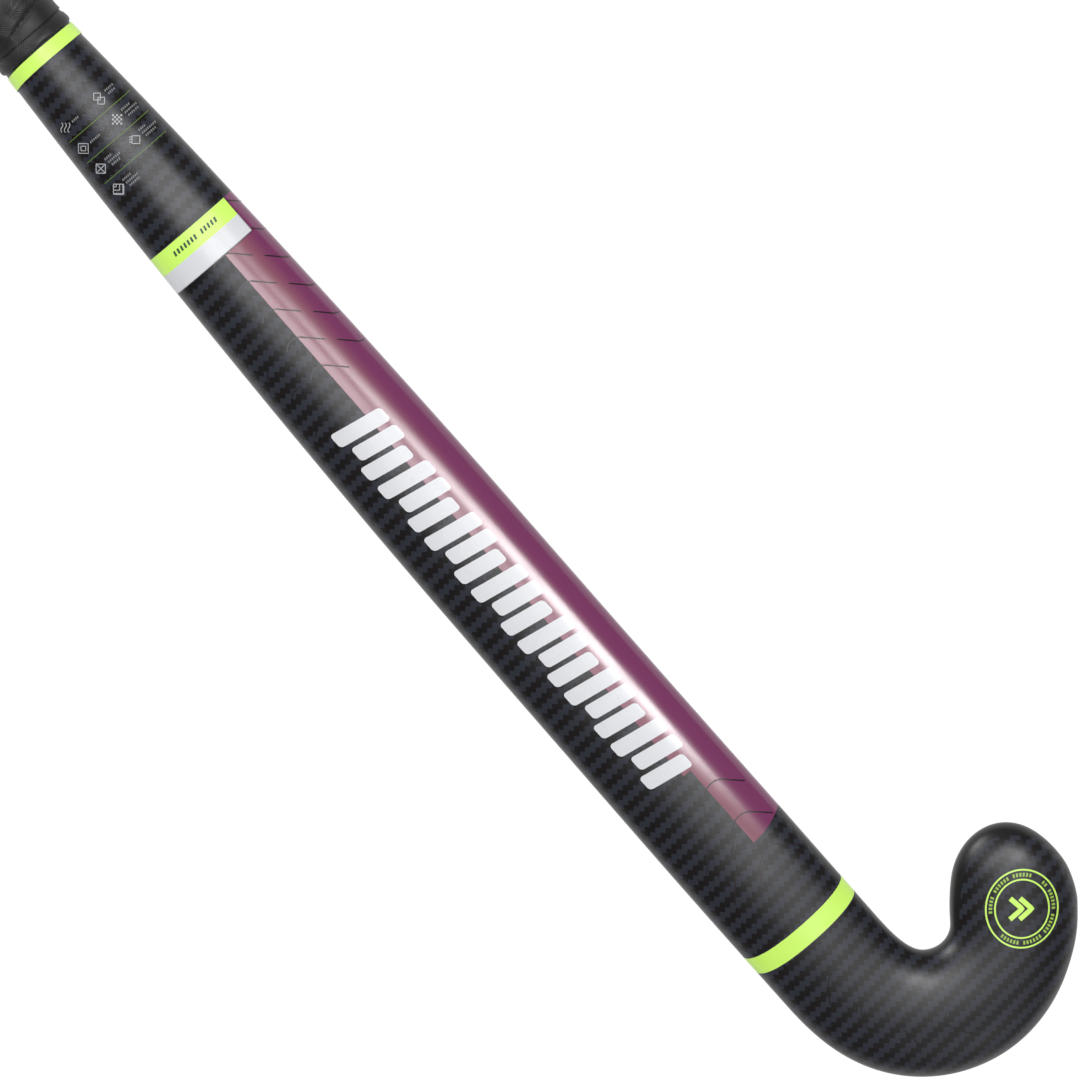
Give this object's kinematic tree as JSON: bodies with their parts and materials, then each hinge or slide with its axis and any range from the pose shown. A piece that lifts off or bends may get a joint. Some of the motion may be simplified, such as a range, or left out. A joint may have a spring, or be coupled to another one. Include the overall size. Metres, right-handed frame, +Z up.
{
  "type": "field hockey stick",
  "caption": "Composite field hockey stick with a hooked head, low bow, rounded carbon back, neon bands, purple side panel and wound black grip.",
  "frame": {"origin": "on the ground under the centre of the bounding box, with the stick lying face down", "axes": "+X along the handle axis from the butt to the head, +Y towards the toe, +Z up out of the rounded back"},
  "size_m": [0.9262, 0.1208, 0.0447],
  "materials": {
    "carbon": "satin lacquer over carbon twill",
    "laminate": "bare carbon laminate",
    "foam": "rigid polyurethane foam",
    "gel": "soft damping gel",
    "fibre": "bonded damping fibres",
    "tape": "cushion tape",
    "grip": "matte embossed polyurethane strip",
    "rubber": "matte",
    "neon": "satin printed film",
    "silver": "satin silver printed film",
    "purple": "pearl lacquer film"
  },
  "bodies": {
    "root": {"carbon_shell": "carbon", "bridge_strip": "laminate", "inner_tube_heel_side": "laminate", "inner_tube_toe_side": "laminate", "tube_plug_heel_side": "foam", "tube_plug_toe_side": "foam", "damping_fibre_heel_side": "fibre", "damping_fibre_toe_side": "fibre", "head_core": "foam", "head_gel_pad": "gel", "butt_plug": "foam", "handle_foam": "foam", "grip_underlay": "tape", "grip_wrap": "grip", "grip_collar": "grip", "finishing_band": "neon", "end_cap": "rubber", "lower_band_film": "neon", "title_film_neon": "neon", "title_film_silver": "silver", "side_panel_film": "purple", "main_mark_film": "silver", "feature_note_film": "silver", "head_badge_film": "neon"}
  },
  "joints": []
}
